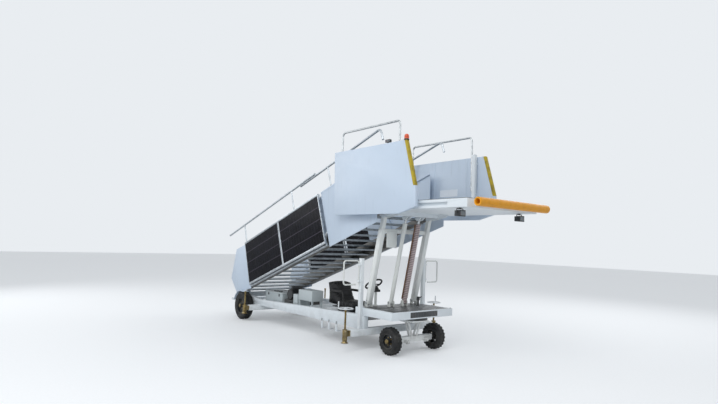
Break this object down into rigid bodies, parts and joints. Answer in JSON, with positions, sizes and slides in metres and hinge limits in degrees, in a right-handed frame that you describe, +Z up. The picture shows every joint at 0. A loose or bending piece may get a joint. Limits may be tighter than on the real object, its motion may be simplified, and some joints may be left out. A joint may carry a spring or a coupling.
{
  "type": "mobile aircraft stairs",
  "caption": "Wheeled aircraft boarding stairs with a telescoping flight, solar side panels, a lifting platform on telescopic legs, a front dolly, jacks and a driver's seat.",
  "frame": {"origin": "on the ground under the middle of the whole machine's length and width", "axes": "+X forward towards the aircraft, +Y to the machine's left, +Z up"},
  "size_m": [7.336, 2.322, 3.647],
  "materials": {
    "white_paint": "gloss paint",
    "frame_paint": "gloss paint",
    "checker_plate": "rolled checker plate",
    "black_steel": "satin paint",
    "zinc": "yellow zinc",
    "grey_box": "satin paint",
    "seat_vinyl": "vinyl",
    "black_rubber": "satin",
    "tyre_rubber": "matt",
    "rim_steel": "satin paint",
    "stair_grey": "dull paint",
    "aluminium": "mill finish",
    "solar_cell": "glossy cover glass over cells",
    "yellow_strip": "worn",
    "bumper_rubber": "satin",
    "beacon_lens": "lens",
    "bellows": "corrugated",
    "chrome_rod": "polished",
    "brown_pipe": "worn paint"
  },
  "bodies": {
    "chassis": {"side_beams": "white_paint", "cross_beams": "white_paint", "rear_axle": "white_paint", "rear_entry_step": "white_paint", "mudguards": "white_paint", "side_steps": "white_paint", "deck_frame": "white_paint", "deck_plates": "checker_plate", "slewing_ring": "black_steel", "lift_clevises": "frame_paint", "gate_posts": "frame_paint", "jack_sleeves": "zinc", "battery_box": "grey_box", "power_pack": "black_steel", "equipment_boxes": "grey_box", "seat_base": "black_steel", "driver_seat": "seat_vinyl", "steering_column": "frame_paint", "steering_console": "black_steel", "valve_stand": "black_steel"},
    "steering_wheel": {"steering_wheel": "black_rubber"},
    "dolly": {"dolly_frame": "white_paint"},
    "front_wheel_left": {"front_tyre_left": "tyre_rubber", "front_rim_left": "rim_steel"},
    "front_wheel_right": {"front_tyre_right": "tyre_rubber", "front_rim_right": "rim_steel"},
    "rear_wheel_left": {"rear_tyre_left": "tyre_rubber", "rear_rim_left": "rim_steel"},
    "rear_wheel_right": {"rear_tyre_right": "tyre_rubber", "rear_rim_right": "rim_steel"},
    "jack_front_left": {"jack_front_left": "zinc"},
    "jack_front_right": {"jack_front_right": "zinc"},
    "jack_rear_left": {"jack_rear_left": "zinc"},
    "jack_rear_right": {"jack_rear_right": "zinc"},
    "gate_left": {"gate_loop_left": "frame_paint"},
    "gate_right": {"gate_loop_right": "frame_paint"},
    "lower_flight": {"lower_stringers": "stair_grey", "lower_treads": "aluminium", "pv_panels": "solar_cell", "pv_side_frames": "aluminium", "lower_end_sheets": "white_paint", "lower_handrails": "aluminium"},
    "upper_flight": {"upper_stringers": "stair_grey", "upper_treads": "aluminium", "upper_side_sheets": "white_paint", "upper_handrails": "aluminium"},
    "platform": {"platform_frame": "white_paint", "platform_floor": "checker_plate", "side_panels": "white_paint", "edge_strips": "yellow_strip", "bumper": "bumper_rubber", "rail_frames": "aluminium", "beacon": "beacon_lens", "platform_lamps": "black_steel"},
    "legs_outer": {"leg_outers": "frame_paint"},
    "legs_inner": {"leg_inners": "frame_paint"},
    "cylinders": {"cylinder_barrel": "frame_paint", "ribbed_barrel": "bellows", "feed_pipe": "brown_pipe"},
    "rods": {"cylinder_rods": "chrome_rod"}
  },
  "joints": [
    {"name": "steering_wheel_turn", "type": "hinge", "parent": "chassis", "child": "steering_wheel", "pos_m": [1.047, -0.31, 1.05], "axis": [-0.5736, 0, 0.8192], "range_deg": [-500, 500]},
    {"name": "steering", "type": "hinge", "parent": "chassis", "child": "dolly", "pos_m": [1.702, 0, 0.52], "axis": [0, 0, 1], "range_deg": [-25, 25]},
    {"name": "front_wheel_left_spin", "type": "hinge", "parent": "dolly", "child": "front_wheel_left", "pos_m": [1.702, 0.5, 0.218], "axis": [0, 1, 0], "continuous": true},
    {"name": "rear_wheel_left_spin", "type": "hinge", "parent": "chassis", "child": "rear_wheel_left", "pos_m": [-2.698, 0.812, 0.295], "axis": [0, 1, 0], "continuous": true},
    {"name": "front_wheel_right_spin", "type": "hinge", "parent": "dolly", "child": "front_wheel_right", "pos_m": [1.702, -0.5, 0.218], "axis": [0, 1, 0], "continuous": true},
    {"name": "rear_wheel_right_spin", "type": "hinge", "parent": "chassis", "child": "rear_wheel_right", "pos_m": [-2.698, -0.812, 0.295], "axis": [0, 1, 0], "continuous": true},
    {"name": "jack_front_left_screw", "type": "slide", "parent": "chassis", "child": "jack_front_left", "axis": [0, 0, -1], "range_m": [0, 0.155]},
    {"name": "jack_front_right_screw", "type": "slide", "parent": "chassis", "child": "jack_front_right", "axis": [0, 0, -1], "range_m": [0, 0.155]},
    {"name": "jack_rear_left_screw", "type": "slide", "parent": "chassis", "child": "jack_rear_left", "axis": [0, 0, -1], "range_m": [0, 0.19]},
    {"name": "jack_rear_right_screw", "type": "slide", "parent": "chassis", "child": "jack_rear_right", "axis": [0, 0, -1], "range_m": [0, 0.19]},
    {"name": "gate_left_swing", "type": "hinge", "parent": "chassis", "child": "gate_left", "pos_m": [1.212, 0.79, 1.42], "axis": [0, 0, 1], "range_deg": [0, 90]},
    {"name": "gate_right_swing", "type": "hinge", "parent": "chassis", "child": "gate_right", "pos_m": [1.212, -0.79, 1.42], "axis": [0, 0, -1], "range_deg": [0, 90]},
    {"name": "lift", "type": "hinge", "parent": "chassis", "child": "lower_flight", "pos_m": [-3.148, 0, 0.65], "axis": [0, -1, 0], "range_deg": [0, 9]},
    {"name": "flight_extend", "type": "slide", "parent": "lower_flight", "child": "upper_flight", "axis": [0.9451, 0, 0.3268], "range_m": [0, 0.3618]},
    {"name": "platform_level", "type": "hinge", "parent": "upper_flight", "child": "platform", "pos_m": [1.652, 0, 2.31], "axis": [0, 1, 0], "range_deg": [0, 9.1]},
    {"name": "leg_tilt", "type": "hinge", "parent": "chassis", "child": "legs_outer", "pos_m": [1.182, 0, 0.762], "axis": [0, -1, 0], "range_deg": [0, 4.94]},
    {"name": "leg_extend", "type": "slide", "parent": "legs_outer", "child": "legs_inner", "axis": [0.2241, 0, 0.9746], "range_m": [0, 0.8867]},
    {"name": "cylinder_tilt", "type": "hinge", "parent": "chassis", "child": "cylinders", "pos_m": [1.322, 0, 0.762], "axis": [0, -1, 0], "range_deg": [0, 4.74]},
    {"name": "rod_extend", "type": "slide", "parent": "cylinders", "child": "rods", "axis": [0.214, 0, 0.9768], "range_m": [0, 0.8881]}
  ],
  "couplings": [
    {"joint": "steering", "follows": "steering_wheel_turn", "ratio": 0.05},
    {"joint": "flight_extend", "follows": "lift", "m_per_rad": 2.3001},
    {"joint": "platform_level", "follows": "lift", "ratio": 1},
    {"joint": "leg_tilt", "follows": "lift", "ratio": 0.54232},
    {"joint": "leg_extend", "follows": "lift", "m_per_rad": 5.6417},
    {"joint": "cylinder_tilt", "follows": "lift", "ratio": 0.52045},
    {"joint": "rod_extend", "follows": "lift", "m_per_rad": 5.6501}
  ]
}
